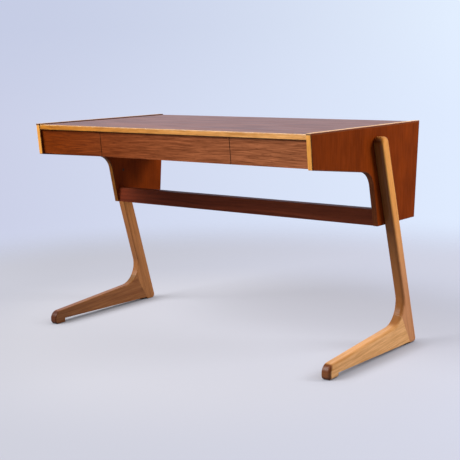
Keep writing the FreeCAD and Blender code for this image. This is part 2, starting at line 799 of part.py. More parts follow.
def make_runners():
    """Six hardwood runners, two to a drawer, with their screws."""
    screws = []
    for name, bay_low, bay_high, _, _ in BAYS:
        spans = (
            (LEFT, "left", "-x", bay_low, f"{bay_low} + {RUNNER_THICKNESS}"),
            (RIGHT, "right", "x", f"{bay_high} - {RUNNER_THICKNESS}", bay_high),
        )
        for side, hand, axis, x_low, x_high in spans:
            runner = board(f"runner_{name}_{hand}", (x_low, RUNNER_FRONT, RUNNER_LOW),
                           (x_high, BOX_REAR, f"{RUNNER_LOW} + runner_height"))
            for centre in runner_screw_places(bay_low, bay_high, side):
                drill(runner, centre, axis, "runner_screw_radius + screw_clearance", RUNNER_SCREW_LENGTH)
                countersink(runner, centre, axis, "runner_screw_radius", "runner_screw_head_radius",
                            "runner_screw_head_height")
                screws.append(screw(centre, axis, "runner", RUNNER_SCREW_LENGTH))
    group("runner_screws", screws)


def make_drawer(name, bay_low, bay_high, front_low, front_high):
    """A drawer: sloping front, two grooved sides, back and bottom board."""
    corners = [
        (f"{front_edge(FRONT_BOTTOM)} + front_recess", FRONT_BOTTOM),
        (f"{front_edge(FRONT_TOP)} + front_recess", FRONT_TOP),
        (front_back_face(FRONT_TOP), FRONT_TOP),
        (front_back_face(BOX_BOTTOM), BOX_BOTTOM),
        (f"{front_edge(FRONT_BOTTOM)} + front_recess + grip_lip", FRONT_BOTTOM),
    ]
    front = profile_board(f"drawer_{name}_front", corners, front_low, f"{front_high} - {front_low}")
    box_left = f"({bay_low} + box_side_gap)"
    box_right = f"({bay_high} - box_side_gap)"
    inner_left = f"({box_left} + box_side_thickness)"
    inner_right = f"({box_right} - box_side_thickness)"
    board_high = f"({BOARD_LOW} + bottom_thickness)"
    groove_low = f"{BOARD_LOW} - dowel_clearance"
    groove_high = f"{board_high} + dowel_clearance"
    groove_front = f"({front_back_face(BOARD_LOW)} - bottom_groove)"
    cut_box(front, (f"{inner_left} - bottom_groove", groove_front, groove_low),
            (f"{inner_right} + bottom_groove", f"{groove_front} + bottom_groove + overrun", groove_high))
    runner_low = f"({RUNNER_LOW} - running_gap)"
    runner_high = f"({RUNNER_LOW} + runner_height + running_gap)"
    side_corners = [
        (front_back_face(BOX_BOTTOM), BOX_BOTTOM),
        (front_back_face(BOX_TOP), BOX_TOP),
        (BOX_REAR, BOX_TOP),
        (BOX_REAR, BOX_BOTTOM),
    ]
    spans = (
        ("left", box_left, box_left, f"{box_left} + runner_groove",
         f"{inner_left} - bottom_groove", inner_left),
        ("right", inner_right, f"{box_right} - runner_groove", box_right,
         inner_right, f"{inner_right} + bottom_groove"),
    )
    for hand, x_low, runner_start, runner_end, board_start, board_end in spans:
        wall = profile_board(f"drawer_{name}_side_{hand}", side_corners, x_low, "box_side_thickness")
        cut_box(wall, (runner_start, f"{FRONT} - overrun", runner_low),
                (runner_end, f"{BOX_REAR} + overrun", runner_high))
        cut_box(wall, (board_start, f"{FRONT} - overrun", groove_low),
                (board_end, f"{BOX_REAR} + overrun", groove_high))
    board(f"drawer_{name}_bottom",
          (f"{inner_left} - bottom_groove + bottom_end_gap", f"{groove_front} + bottom_end_gap", BOARD_LOW),
          (f"{inner_right} + bottom_groove - bottom_end_gap", BOX_REAR, board_high))
    board(f"drawer_{name}_back",
          (inner_left, f"{BOX_REAR} - box_back_thickness", board_high),
          (inner_right, BOX_REAR, f"{BOX_TOP} - box_back_drop"))


def make_stops():
    """Three blocks on the back panel that the drawers close against."""
    low = f"({BOX_BOTTOM} + stop_rise)"
    high = f"({low} + stop_height)"
    stops = []
    for _, bay_low, bay_high, _, _ in BAYS:
        middle = f"(({bay_low} + {bay_high}) / 2)"
        corners = [
            (f"{BOX_REAR} + stop_gap", low),
            (f"{BOX_REAR} + stop_gap", high),
            (back_front_face(high), high),
            (back_front_face(low), low),
        ]
        stop = profile_board("drawer_stop", corners, f"{middle} - stop_width / 2", "stop_width")
        nodes.remove(stop)
        stops.append(stop)
    group("drawer_stops", stops)


def make_dowels():
    """The wooden dowels that join top, back, rail and dividers."""
    rows = (
        ("top_dowels", top_dowel_places, "x", "top_dowel_radius", TOP_DOWEL_LENGTH),
        ("back_dowels", back_dowel_places, "x", "back_dowel_radius", BACK_DOWEL_LENGTH),
        ("rail_dowels", rail_dowel_places, "x", "rail_dowel_radius", RAIL_DOWEL_LENGTH),
        ("divider_dowels", divider_dowel_places, "z", "divider_dowel_radius", DIVIDER_DOWEL_LENGTH),
    )
    for label, places, axis, radius, length in rows:
        group(label, [rod(centre, axis, radius, length) for _, side in SIDES for centre in places(side)])


make_top()
for hand_name, hand_side in SIDES:
    make_side(hand_name, hand_side)
    make_divider(hand_name, hand_side)
    make_leg(hand_name, hand_side)
make_back()
make_rail()
make_runners()
for bay in BAYS:
    make_drawer(*bay)
make_stops()
make_dowels()
document.recompute()

# Checks before anything is written

for item in document.Objects:
    bad = [word for word in item.State if word in ("Invalid", "Error")]
    if bad:
        raise RuntimeError(f"{item.Label} is {bad}")
    if item.TypeId.startswith("PartDesign::Subtractive") or item.TypeId == "PartDesign::Pocket":
        if item.Shape.Volume >= item.BaseFeature.Shape.Volume:
            raise RuntimeError(f"{item.Name} in {item.getParentGeoFeatureGroup().Label} cuts nothing")

os.makedirs("parts", exist_ok=True)
for node in nodes:
    shape = node.Shape
    if shape.isNull() or not shape.isValid() or not shape.Solids:
        raise RuntimeError(f"{node.Label} has no sound solid")
    if node.TypeId != "Part::Compound" and len(shape.Solids) > 1:
        raise RuntimeError(f"{node.Label} is in pieces")
    shape.exportStep(f"parts/{node.Label}.step")
    print(node.Label, len(shape.Solids), "solids", round(shape.Volume), "mm3")
print(len(nodes), "nodes")
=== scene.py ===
# %% [markdown]
# A writing desk in teak and oak
#
# The real desk is a joiner's piece: teak-veneered boards for the top, the side panels and the
# drawers, thin oak strips on their edges, and two solid oak legs that each lean forward from a
# long foot. Its shape and its joints come from a packed construction model, which this script
# loads as a fixed frame. What is left for Blender is what the eye judges: soft edges, the grain
# of each wood, oil on the surface, screw heads and glides, light and the camera.

# %% Load the frame
import math

import bpy
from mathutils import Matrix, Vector


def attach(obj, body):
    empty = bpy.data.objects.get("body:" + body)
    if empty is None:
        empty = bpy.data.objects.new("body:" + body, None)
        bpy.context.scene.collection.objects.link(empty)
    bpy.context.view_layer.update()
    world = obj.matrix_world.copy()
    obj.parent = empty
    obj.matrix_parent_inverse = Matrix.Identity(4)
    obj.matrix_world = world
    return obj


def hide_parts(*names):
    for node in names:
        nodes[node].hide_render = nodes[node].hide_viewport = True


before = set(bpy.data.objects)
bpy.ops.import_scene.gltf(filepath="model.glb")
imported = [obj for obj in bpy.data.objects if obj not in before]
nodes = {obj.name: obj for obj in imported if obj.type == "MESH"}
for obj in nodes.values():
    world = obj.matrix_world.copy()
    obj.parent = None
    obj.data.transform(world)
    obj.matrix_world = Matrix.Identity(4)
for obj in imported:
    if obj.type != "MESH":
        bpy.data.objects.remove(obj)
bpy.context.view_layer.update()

# %% [markdown]
# Millimetres and colours
#
# Wood is described in millimetres: how wide a growth ring is, how long a pore. Blender works in
# metres, so one factor turns one into the other. Colours are written the way a paint card gives
# them, as sRGB hex, but a shader adds and multiplies light, which needs linear values. One
# function does that change, so each colour is written once and can be compared with a swatch.

# %% Units and colours
MM = 0.001


def colour(swatch):
    """Linear RGBA of an sRGB swatch such as 8a4a26."""
    channels = [int(swatch[start:start + 2], 16) / 255 for start in (0, 2, 4)]
    linear = [c / 12.92 if c <= 0.04045 else ((c + 0.055) / 1.055) ** 2.4 for c in channels]
    return (*linear, 1.0)


print("an oak swatch in linear light:", [round(c, 3) for c in colour("d89a50")])

# %% [markdown]
# The camera
#
# The photograph is taken from the front right, a little above the desk top, with a long lens:
# the far leg looks nearly as large as the near one. The place and turn of the camera were worked
# out from straight edges of the desk. A camera in Blender looks down its own -Z axis, so a tilt
# of a quarter turn less the downward pitch looks at the desk, a turn about Z swings it to the
# left, and a last small roll levels it as in the photograph.

# %% Camera
CAMERA_PLACE = (2.1707, -2.7362, 0.9369)
CAMERA_PITCH = -0.1646
CAMERA_SWING = 0.6652
CAMERA_ROLL = -0.0181
LENS_MM = 81.06
SENSOR_MM = 36
DESK_MIDDLE = Vector((0, 0, 0.4))

bpy.ops.object.camera_add(location=CAMERA_PLACE,
                          rotation=(math.pi / 2 + CAMERA_PITCH, 0, CAMERA_SWING))
camera = bpy.context.object
camera.name = "photographer"
camera.rotation_euler.rotate_axis("Z", CAMERA_ROLL)
camera.data.lens = LENS_MM
camera.data.sensor_width = SENSOR_MM
bpy.context.scene.camera = camera
print("camera", round((camera.location - DESK_MIDDLE).length, 2), "m from the desk")

# %% [markdown]
# One helper for every shader node
#
# A procedural material is a small machine of nodes. Adding one by hand takes four steps: make
# it, set its options, fill its sockets and wire what feeds it. This helper does the four in one
# call: a socket gets either a plain value or the output of an earlier node. A second helper
# starts a material with its principled shader, the one that models most real surfaces.

# %% Node helper
def add_node(tree, kind, sockets=None, **options):
    """Adds a shader node. Sockets maps a name or number to a value or to a node's output."""
    node = tree.nodes.new("ShaderNode" + kind)
    for option, value in options.items():
        setattr(node, option, value)
    for socket, value in (sockets or {}).items():
        if isinstance(value, bpy.types.NodeSocket):
            tree.links.new(value, node.inputs[socket])
        else:
            node.inputs[socket].default_value = value
    return node


def new_material(name, roughness=0.5, specular=0.5):
    """An empty material, its node tree and its principled shader, wired to the output."""
    material = bpy.data.materials.new(name)
    material.use_nodes = True
    tree = material.node_tree
    tree.nodes.clear()
    shader = add_node(tree, "BsdfPrincipled", {"Roughness": roughness,
                                               "Specular IOR Level": specular})
    add_node(tree, "OutputMaterial", {"Surface": shader.outputs["BSDF"]})
    return material, tree, shader


print("node helpers ready")

# %% [markdown]
# Finding the grain
#
# Wood is a bundle of tubes that grew in yearly coats round a heart. All of its patterns are long
# along the grain and narrow across it, so the first step of the recipe turns the object's own
# space until its X axis lies along the grain. The surface normal is turned the same way: where
# it points along the grain, the board is cut across, and end grain drinks more oil and looks
# darker. The grain never runs quite straight, so the space is also pushed sideways, by a slow
# swing over half a metre and by a small ripple a few centimetres long.

# %% Grain space
GRAIN_ALONG_X = (0, 0, 0)
GRAIN_ALONG_Y = (0, 0, -math.pi / 2)
GRAIN_UPRIGHT = (0, math.pi / 2, 0)
SWING_MM = 20
SWINGS_PER_METRE = (2.2, 9, 9)
RIPPLE_MM = 2.5
RIPPLES_PER_METRE = (26, 60, 60)


def grain_space(tree, turn, ripple):
    """Coordinates with X along the grain, straight ones and ones that swing and ripple."""
    place = add_node(tree, "TexCoord").outputs["Object"]
    along = add_node(tree, "Mapping", {"Vector": place, "Rotation": turn})
    bent = along.outputs[0]
    for scale, reach in ((SWINGS_PER_METRE, SWING_MM), (RIPPLES_PER_METRE, RIPPLE_MM * ripple)):
        slow = add_node(tree, "Mapping", {"Vector": along.outputs[0], "Scale": scale})
        noise = add_node(tree, "TexNoise", {"Vector": slow.outputs[0], "Scale": 1.0, "Detail": 1.0})
        centred = add_node(tree, "VectorMath", {0: noise.outputs["Color"], 1: (0.5, 0.5, 0.5)},
                           operation="SUBTRACT")
        push = add_node(tree, "VectorMath", {0: centred.outputs[0], 1: (0, reach * MM, reach * MM)},
                        operation="MULTIPLY")
        bent = add_node(tree, "VectorMath", {0: bent, 1: push.outputs[0]},
                        operation="ADD").outputs[0]
    return along.outputs[0], bent


def cut_face(tree, turn, axis, low, high):
    """How far a face looks along one axis of the grain space: X finds end grain."""
    normal = add_node(tree, "TexCoord").outputs["Normal"]
    facing = add_node(tree, "Mapping", {"Vector": normal, "Rotation": turn})
    split = add_node(tree, "SeparateXYZ", {0: facing.outputs[0]})
    amount = add_node(tree, "Math", {0: split.outputs[axis]}, operation="ABSOLUTE")
    return add_node(tree, "MapRange", {"Value": amount.outputs[0], "From Min": low,
                                       "From Max": high}).outputs["Result"]


print("the grain swings by up to", SWING_MM / 2, "mm")

# %% [markdown]
# What grows along the grain
#
# Four patterns make up the figure. Growth rings are cylinders round a heart line that lies
# outside the board, and a board that is nearly parallel to them cuts them in long arches.
# Streaks are broad, for the uneven colour of the heartwood. Fibres are fine. Pores are short
# dark dashes, the open tubes that oil darkens. A real pore is 0.2 mm wide, too fine to show,
# so it is drawn five to ten times as wide. Streaks, fibres and pores are each a noise with one
# size along the grain and another across it, both in millimetres, and it fills space, so a
# board's end shows dots where its side shows lines.

# %% Figure
RING_TILT = (0, math.radians(1.3), math.radians(0.8))
WAVE_METRES = 0.314  # a wave of scale 1 repeats after so many metres
ALL_OVER = (0.30, 0.70)  # the range of a noise that covers most of a surface
PEAKS_ONLY = (0.60, 0.72)  # the range that leaves scattered dashes


def growth_rings(tree, bent, heart, spacing):
    """Rings round a heart line, from 0 in the early wood to 1 in the late wood."""
    where = add_node(tree, "Mapping", {"Vector": bent, "Location": [v * MM for v in heart],
                                       "Rotation": RING_TILT})
    scale = WAVE_METRES / (spacing * MM)
    return add_node(tree, "TexWave", {"Vector": where.outputs[0], "Scale": scale, "Distortion": 0.8,
                                      "Detail": 1.0, "Detail Scale": 1.5},
                    wave_type="RINGS", rings_direction="X", wave_profile="SIN").outputs["Fac"]


def lengthwise(tree, bent, length, width, low, high):
    """A noise stretched along the grain, spread from 0 at low to 1 at high."""
    scale = (1 / (length * MM), 1 / (width * MM), 1 / (width * MM))
    stretched = add_node(tree, "Mapping", {"Vector": bent, "Scale": scale})
    noise = add_node(tree, "TexNoise", {"Vector": stretched.outputs[0], "Scale": 1.0,
                                        "Detail": 2.0})
    return add_node(tree, "MapRange", {"Value": noise.outputs["Fac"], "From Min": low,
                                       "From Max": high}).outputs["Result"]


print("figure helpers ready")

# %% [markdown]
# Wear and painted highlights along the edges
#
# Sixty years of sleeves and dusters rub the oil off a desk's edges first, the upper ones most. They
# turn paler than the faces, and the same paler line also paints the highlight that a rounded edge
# catches. A Bevel node finds them: it gives the normal that the surface would have with its edges
# rounded, and where that differs from the true normal, there is an edge. How far it looks upwards
# sets how much it is rubbed and highlit, and a noise breaks the line up, because no edge is rubbed
# evenly.

# %% Worn edges with a painted highlight
RUBBED_AND_HIGHLIT_MM = 4.0
FACE_AGREES = 0.99  # the dot product of the two normals where an edge begins
EDGE_AGREES = 0.92  # and where it is at its fullest
BREAKS_PER_METRE = 60.0


def rubbed_and_highlit_edges(tree, along, reach_mm):
    """1 where an edge is rubbed pale and painted with a highlight, 0 on the faces, broken up along
    the edge.
    """
    rounded = add_node(tree, "Bevel", {"Radius": reach_mm * MM}, samples=4).outputs["Normal"]
    straight = add_node(tree, "NewGeometry").outputs["Normal"]
    agreement = add_node(tree, "VectorMath", {0: rounded, 1: straight},
                         operation="DOT_PRODUCT").outputs["Value"]
    edge = add_node(tree, "MapRange", {"Value": agreement, "From Min": FACE_AGREES,
                                       "From Max": EDGE_AGREES})
    upward = add_node(tree, "SeparateXYZ", {0: rounded}).outputs["Z"]
    reached = add_node(tree, "MapRange", {"Value": upward, "From Min": -0.3, "From Max": 0.5})
    noise = add_node(tree, "TexNoise", {"Vector": along, "Scale": BREAKS_PER_METRE, "Detail": 2.0})
    uneven = add_node(tree, "MapRange", {"Value": noise.outputs["Fac"], "From Min": 0.35,
                                         "From Max": 0.65, "To Min": 0.3, "To Max": 1.0})
    rubbed = add_node(tree, "Math", {0: edge.outputs[0], 1: reached.outputs[0]},
                      operation="MULTIPLY")
    return add_node(tree, "Math", {0: rubbed.outputs[0], 1: uneven.outputs[0]},
                    operation="MULTIPLY").outputs[0]


print("edges are rubbed over", RUBBED_AND_HIGHLIT_MM, "mm")

# %% [markdown]
# Three steps of the wood recipe
#
# The patterns are added up to a single darkness, which picks a tone between a pale and a dark
# swatch. Real planks change from one end to the other, so swatches can drift into others along the
# grain; on the lipping and the drawer fronts the drift makes them paler to the right, which is
# painted light. Where a veneered panel is edged with a thin strip, the panel's colour shows on the
# strip's sides too. And oil goes deepest into pores and end grain, which turn darkest, and faces
# that look along one chosen axis take that dark tone as painted shade.

# %% Steps of the recipe
def drifting(tree, along, start, stop, near, far):
    """Swatches that turn into others along the grain, between two places in millimetres."""
    where = add_node(tree, "SeparateXYZ", {0: along}).outputs["X"]
    share = add_node(tree, "MapRange", {"Value": where, "From Min": start * MM,
                                        "From Max": stop * MM},
                     interpolation_type="SMOOTHSTEP").outputs["Result"]
    return [add_node(tree, "Mix", {0: share, 6: colour(one), 7: colour(other)},
                     data_type="RGBA").outputs[2] for one, other in zip(near, far)]


def added_up(tree, rings, streaks, fibres, weights):
    """One darkness from the patterns that colour the wood, each with its weight."""
    ringed = add_node(tree, "Math", {0: rings, 1: weights[1]}, operation="MULTIPLY")
    streaked = add_node(tree, "Math", {0: streaks, 1: weights[0], 2: ringed.outputs[0]},
                        operation="MULTIPLY_ADD")
    return add_node(tree, "Math", {0: fibres, 1: weights[2], 2: streaked.outputs[0]},
                    operation="MULTIPLY_ADD", use_clamp=True).outputs[0]


def veneered(tree, darkness, body, veneer):
    """A strip's own colour, with two swatches of a veneer on the faces at its sides."""
    sides = cut_face(tree, GRAIN_ALONG_X, "X", 0.5, 0.75)
    leaf = add_node(tree, "Mix", {0: darkness, 6: colour(veneer[0]), 7: colour(veneer[1])},
                    data_type="RGBA").outputs[2]
    return add_node(tree, "Mix", {0: sides, 6: body, 7: leaf}, data_type="RGBA").outputs[2]


def oil_dark_and_painted_shade(tree, turn, pitted, end, ends, edge):
    """How dark a place is: oil in its pores and end grain, and painted shade by the way that it
    faces.
    """
    end_grain = cut_face(tree, turn, "X", *ends)
    # painted shade: faces that look along the edge axis are darkened towards the oil-dark swatch
    painted_shade_by_facing = cut_face(tree, turn, edge[0], 0.2, 0.8)
    crosscut = add_node(tree, "Math", {0: end_grain, 1: end}, operation="MULTIPLY")
    faced = add_node(tree, "Math", {0: painted_shade_by_facing, 1: edge[1], 2: crosscut.outputs[0]},
                     operation="MULTIPLY_ADD", use_clamp=True)
    return add_node(tree, "Math", {0: pitted, 1: faced.outputs[0]},
                    operation="MAXIMUM").outputs[0]


print("steps of the recipe ready")

# %% [markdown]
# The wood recipe
#
# One recipe makes every wood here, as one workshop would: the tone from its darkness, then oil in
# its pores and end grain and painted shade on the faces that look along one axis, then a bleached,
# paler tone on its rubbed edges, which also paints a highlight. Fibres make the roughness uneven,
# because oil sits in the soft early wood and leaves the hard late wood a little shinier, and pores
# are sunk with a bump. Oiled wood is nearly matt, so its specular level is well under that of
# varnish.

# %% Wood
SHINIER = 0.06
DULLER = 0.1
PORE_DEPTH_MM = 0.3


def wood(name, swatches, turn, heart, ring=6.0, streak=(600, 14), fibre=(110, 3.2), pore=(16, 1.0),
         weights=(0.45, 0.2, 0.35, 0.4), gloss=0.45, specular=0.25, ripple=0.3, end=0.8,
         ends=(0.45, 0.9), edge=("Y", 0.0), drift=None, veneer=None, wear_and_highlight=0.5, reach=RUBBED_AND_HIGHLIT_MM,
         bleach_and_highlight=0.65):
    """A wood. Swatches: pale, dark, oil-dark. Turn: radians that bring the grain onto X.
    Heart: millimetres to the heart line. Ring, streak, fibre and pore: their millimetres.
    Weights: of streaks, rings, fibres and pores. Gloss: about the roughness between fibres.
    Drift: from mm, to mm and the three swatches there, for a wood that changes along the grain.
    End: how oil-dark end grain is. Ends: how squarely a face has to look along the grain for it.
    Edge: an axis of the grain space, and how far the faces that look along it take the oil-dark
    swatch, which paints shade on them.
    Veneer: two swatches of a veneer that runs over the sides of a thin strip.
    The last three: how far the edges turn paler, for rubbed oil and a painted highlight, over how
    many millimetres, and the gamma that makes their tone."""
    pale, dark, oil_dark_and_shade_tone = [colour(swatch) for swatch in swatches]
    material, tree, shader = new_material(name, specular=specular)
    along, bent = grain_space(tree, turn, ripple)
    if drift:
        pale, dark, oil_dark_and_shade_tone = drifting(tree, along, drift[0], drift[1], swatches, drift[2:])
    rings = growth_rings(tree, bent, heart, ring)
    streaks = lengthwise(tree, bent, *streak, *ALL_OVER)
    fibres = lengthwise(tree, bent, *fibre, *ALL_OVER)
    pores = lengthwise(tree, bent, *pore, *PEAKS_ONLY)

    darkness = added_up(tree, rings, streaks, fibres, weights)
    body = add_node(tree, "Mix", {0: darkness, 6: pale, 7: dark}, data_type="RGBA").outputs[2]
    if veneer:
        body = veneered(tree, darkness, body, veneer)
    pitted = add_node(tree, "Math", {0: pores, 1: weights[3]}, operation="MULTIPLY")
    oil_and_shade_share = oil_dark_and_painted_shade(tree, turn, pitted.outputs[0], end, ends, edge)
    surface = add_node(tree, "Mix", {0: oil_and_shade_share, 6: body, 7: oil_dark_and_shade_tone}, data_type="RGBA")
    # the paler tone on the edges is rubbed oil and a painted highlight
    rubbed = add_node(tree, "Math", {0: rubbed_and_highlit_edges(tree, along, reach), 1: wear_and_highlight},
                      operation="MULTIPLY")
    paler_edge_tone = add_node(tree, "Gamma", {"Color": pale, "Gamma": bleach_and_highlight})
    worn = add_node(tree, "Mix", {0: rubbed.outputs[0], 6: surface.outputs[2], 7: paler_edge_tone.outputs[0]},
                    data_type="RGBA")

    rough = add_node(tree, "MapRange", {"Value": fibres, "To Min": gloss - SHINIER,
                                        "To Max": gloss + DULLER})
    relief = add_node(tree, "Math", {0: pores, 1: -1.0, 2: fibres}, operation="MULTIPLY_ADD")
    bump = add_node(tree, "Bump", {"Height": relief.outputs[0], "Strength": 0.15,
                                   "Distance": PORE_DEPTH_MM * MM})
    tree.links.new(worn.outputs[2], shader.inputs["Base Color"])
    tree.links.new(rough.outputs["Result"], shader.inputs["Roughness"])
    tree.links.new(bump.outputs["Normal"], shader.inputs["Normal"])
    return material


print("wood recipe ready")

# %% [markdown]
# Teak
#
# Teak is a warm red brown with darker lines. On the side panels the veneer stands upright and
# nearly straight, because it was cut near the edge of a large trunk, so its heart line is far
# away. The top and the drawer fronts have their grain along the desk. Veneer for the three
# fronts comes from one sheet, so they share a material and the figure runs on from one to the
# next. Years of wiping have left the top a little shinier than the rest, and seen at a low
# angle it picks up the pale wall.

# %% Teak
TEAK_DARK = "3a180a"

# oiled teak veneer, cut straight: quiet upright streaks, a saturated red brown
teak_upright = wood("oiled_teak_veneer_upright", ("8d3b0d", "642708", TEAK_DARK), GRAIN_UPRIGHT,
                    (0, 520, 190), ring=16, streak=(100, 46), fibre=(60, 5),
                    weights=(0.5, 0.06, 0.35, 0.2), specular=0.04, gloss=0.55)

# oiled teak veneer, wiped smooth: long grey-brown streaks under a soft sheen
teak_top = wood("oiled_teak_veneer_of_the_top", ("a05c32", "562a14", TEAK_DARK), GRAIN_ALONG_X,
                (0, 160, 300), ring=19, streak=(520, 34), fibre=(150, 4.2), pore=(30, 2.2),
                weights=(0.44, 0.24, 0.62, 0.5), specular=0.35, gloss=0.36)

# oiled teak veneer, cut nearer the heart: fine, nearly straight lines along the fronts, turning
# paler and greyer towards the right, which is painted light
teak_front = wood("oiled_teak_veneer_of_the_drawer_fronts", ("883b0a", "541f04", TEAK_DARK),
                  GRAIN_ALONG_X, (0, 420, -600), ring=7, streak=(260, 14), fibre=(80, 2.1),
                  pore=(24, 1.8), weights=(0.18, 0.1, 0.78, 0.6), specular=0.04, ripple=0.45,
                  drift=(-560, 480, "b8724c", "66361e", "44200f"))

# oiled solid teak, darker than the veneers: the rail under the desk
teak_rail = wood("oiled_solid_teak_of_the_rail", ("76321a", "521e0c", "2c120a"), GRAIN_ALONG_X,
                 (0, 140, -300), ring=9, streak=(500, 9), specular=0.12,
                 drift=(-420, 300, "9a4c2e", "6a3018", "32160c"))

# oiled teak strips, cut from solid: darker lines on the rear and lower edges of the side panels
BAND = {"swatches": ("74300c", "4a1c06", "32140a"), "heart": (0, 300, 200), "streak": (200, 12),
        "specular": 0.06, "gloss": 0.5, "wear_and_highlight": 0.25}
teak_rear_band = wood("oiled_solid_teak_of_the_rear_bands", turn=GRAIN_UPRIGHT, **BAND)
teak_bottom_band = wood("oiled_solid_teak_of_the_bottom_bands", turn=GRAIN_ALONG_Y, **BAND)
print(len(bpy.data.materials), "materials so far")

# %% [markdown]
# Oak
#
# Oak is much paler, a straw brown that oil turns golden, with long open pores. Each piece has its
# grain along its own length, so there is one oak for the lipping and one for the strips at the
# front. The strips on top have an oak for each side, one darker and one paler, which is painted
# shade on the left and a painted reflection on the right. The strips on the bent edge have an oak
# for each side too, darker than the strips at the front, which is painted shade under the desk. No
# two planks match, so each plank that a leg or foot was sawn from has its own oak. The right foot
# is the palest, the left one the reddest.

# %% Oak
LEG_FORWARD_MM = 198
LEG_HEIGHT_MM = 692
LEG_LEAN = math.atan2(LEG_FORWARD_MM, LEG_HEIGHT_MM)
FOOT_RISE = math.radians(3.5)
GRAIN_UP_THE_LEG = (-LEG_LEAN, math.pi / 2, 0)
GRAIN_ALONG_THE_FOOT = (-FOOT_RISE, 0, -math.pi / 2)
OAK_DARK = "5a3414"
VENEER = ("6e2c0a", "4c1a04")
STRIP = {"ring": 7, "streak": (180, 8), "fibre": (60, 2.4), "pore": (24, 1.0)}

# oiled oak lipping: golden with short brown flecks, paler to the right, which is a painted
# reflection, and a pale upper edge, rubbed and painted with a highlight
oak_lipping = wood("oiled_oak_of_the_lipping", ("d08620", "945608", "5a3208"), GRAIN_ALONG_X,
                   (0, 200, -660), ring=9, streak=(60, 8), fibre=(30, 2.0), pore=(24, 1.4),
                   weights=(0.5, 0.2, 0.4, 0.5), specular=0.3, wear_and_highlight=1.0, reach=5.0, bleach_and_highlight=0.25,
                   drift=(-560, 520, "eeb26c", "b87c38", "6a3c14"))

# oiled oak strips: fine and straight, with the panel's teak veneer showing at their sides
# the left top strip and its veneer are darker and have no rubbed edges, which is painted shade; the
# right one is paler with pale edges, which is a painted reflection and a painted highlight
oak_top_strip = {
    side: wood("oiled_oak_of_the_top_strip_" + side, swatches, GRAIN_ALONG_Y, (0, 460, -660),
               veneer=leaf, wear_and_highlight=wear_and_highlight, **STRIP)
    for side, swatches, leaf, wear_and_highlight in (
        ("left", ("dcaa78", "b08050", OAK_DARK), ("4c1c08", "361206"), 0.0),
        ("right", ("ffd6a8", "dcac7c", OAK_DARK), ("8d3b0d", "642708"), 0.5))}
# the bent strips are darker than the front strips, which is painted shade under the desk; the right
# one is also redder
oak_bent = {
    side: wood("oiled_oak_of_the_bent_strip_" + side, swatches, GRAIN_UPRIGHT, (0, 460, -660),
               specular=0.1, veneer=VENEER, **STRIP)
    for side, swatches in (("left", ("8c561c", "5a3410", OAK_DARK)),
                           ("right", ("a4582a", "6c3414", "3c1e0c")))}
oak_upright = wood("oiled_oak_of_the_front_strips", ("fbb45a", "ce8a32", OAK_DARK), GRAIN_UPRIGHT,
                   (0, 300, 500), veneer=VENEER, **STRIP)

# oiled solid oak: long soft streaks, golden, red brown at the heel, with painted shade on the legs'
# front and rear faces and on the feet's tops and undersides
UPRIGHT_RIGHT = ("ffbb66", "dc8a40", "582004")
UPRIGHT_RIGHT_HEEL = (480, 120, "dea070", "b87648", "a0642c")
UPRIGHT_LEFT = ("d08a48", "965a28", "6a3818")
UPRIGHT_LEFT_HEEL = (480, 120, "c68652", "925e36", "6a4020")
FOOT_RIGHT = ("ffc88e", "d09250", "6a3a20")
FOOT_RIGHT_REAR = (-240, -100, "ffc88e", "d09250", "a87040")
FOOT_LEFT = ("b07648", "744224", "502814")
FOOT_LEFT_REAR = (-240, -100, "b07648", "744224", "785028")
# edge paints shade: it darkens the uprights' front and rear faces, most on the right leg, and the
# feet's tops and undersides. The right upright's oil-dark swatch is paler at the heel, so its
# painted shade fades towards the floor. The feet's wide end-grain range also darkens the toe's
# lower round, painted shade over real end grain.
STANDING = {"turn": GRAIN_UP_THE_LEG, "end": 0.25, "ends": (0.25, 0.9)}
LYING = {"turn": GRAIN_ALONG_THE_FOOT, "end": 0.95, "ends": (0.15, 0.55), "edge": ("Z", 0.35)}
PLANKS = {
    "leg_upright_right": dict(STANDING, swatches=UPRIGHT_RIGHT, drift=UPRIGHT_RIGHT_HEEL,
                              heart=(0, 60, 540), edge=("Y", 0.8)),
    "leg_upright_left": dict(STANDING, swatches=UPRIGHT_LEFT, drift=UPRIGHT_LEFT_HEEL,
                             heart=(0, 90, 500), edge=("Y", 0.45)),
    "foot_right": dict(LYING, swatches=FOOT_RIGHT, drift=FOOT_RIGHT_REAR, heart=(0, 540, 30)),
    "foot_left": dict(LYING, swatches=FOOT_LEFT, drift=FOOT_LEFT_REAR, heart=(0, 520, 60)),
}
planks = {piece: wood("oiled_oak_plank_of_the_" + piece, ring=8, streak=(320, 9), fibre=(70, 2.6),
                      pore=(22, 1.6), weights=(0.45, 0.15, 0.45, 0.4),
                      specular=0.2, gloss=0.36, wear_and_highlight=0.3, **plank)
          for piece, plank in PLANKS.items()}
print(len(planks), "planks")

# %% [markdown]
# Woods inside the desk
#
# What is out of sight is made of plainer wood: beech for the dividers, runners, stops and
# dowels, a brown mahogany for the sides and backs of the drawers, and thin plywood for their
# bottoms. They show when a drawer is pulled out, so they get their own grain and a lighter,
# drier surface.

# %% Inner woods
# planed beech, left bare: pale pink brown with tiny flecks
beech = wood("planed_beech", ("dcb48a", "c0926a", "8c6440"), GRAIN_ALONG_Y, (0, 200, 200), ring=5,
             streak=(200, 10), fibre=(30, 1.6), pore=(5, 0.9), gloss=0.6, specular=0.2, end=0.4)

# lacquered mahogany: even brown with short pores
MAHOGANY = {"swatches": ("b4804e", "8a5430", "5c3418"), "heart": (0, 260, -300), "ring": 9,
            "gloss": 0.5}
drawer_wood = wood("lacquered_mahogany_of_the_drawer_boxes", turn=GRAIN_ALONG_Y, **MAHOGANY)
drawer_back_wood = wood("lacquered_mahogany_of_the_drawer_backs", turn=GRAIN_ALONG_X, **MAHOGANY)

